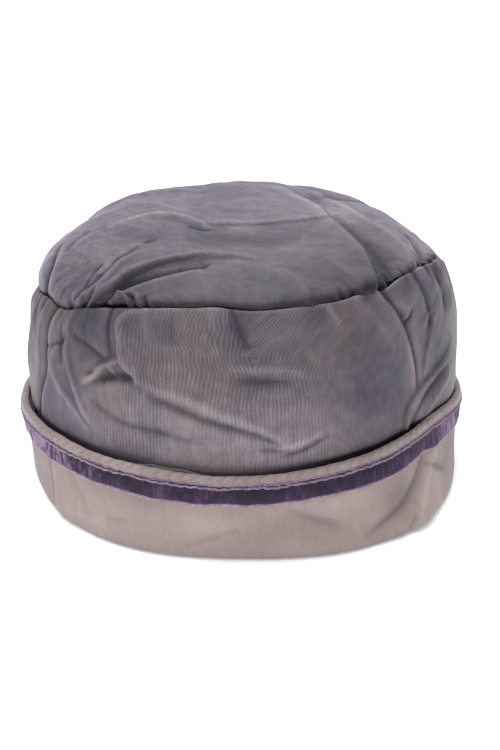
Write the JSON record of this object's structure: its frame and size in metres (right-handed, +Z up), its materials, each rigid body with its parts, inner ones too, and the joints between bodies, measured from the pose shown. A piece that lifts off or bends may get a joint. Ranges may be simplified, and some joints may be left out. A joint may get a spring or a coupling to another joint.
{
  "type": "bonnet",
  "caption": "Soft oval silk bonnet with a domed tip and a turned-up cuff edged with bias binding and velvet ribbon; rests open side down.",
  "frame": {"origin": "centre of the bonnet's bounding box in plan, on the surface that its cuff rests on", "axes": "+Z up out of the crown, -Y the front that the picture shows, +X the picture's right-hand side"},
  "size_m": [0.2093, 0.2245, 0.1283],
  "materials": {
    "side_silk": "ribbed silk, soft sheen",
    "tip_silk": "ribbed silk, soft sheen",
    "cuff_silk": "ribbed silk, faded, soft sheen",
    "facing_cloth": "matt lining cloth",
    "binding_silk": "ribbed silk cut on the bias",
    "velvet": "crushed velvet pile"
  },
  "bodies": {
    "root": {"crown_side": "side_silk", "crown_tip": "tip_silk", "cuff": "cuff_silk", "cuff_facing": "facing_cloth", "edge_binding": "binding_silk", "velvet_ribbon": "velvet"}
  },
  "joints": []
}
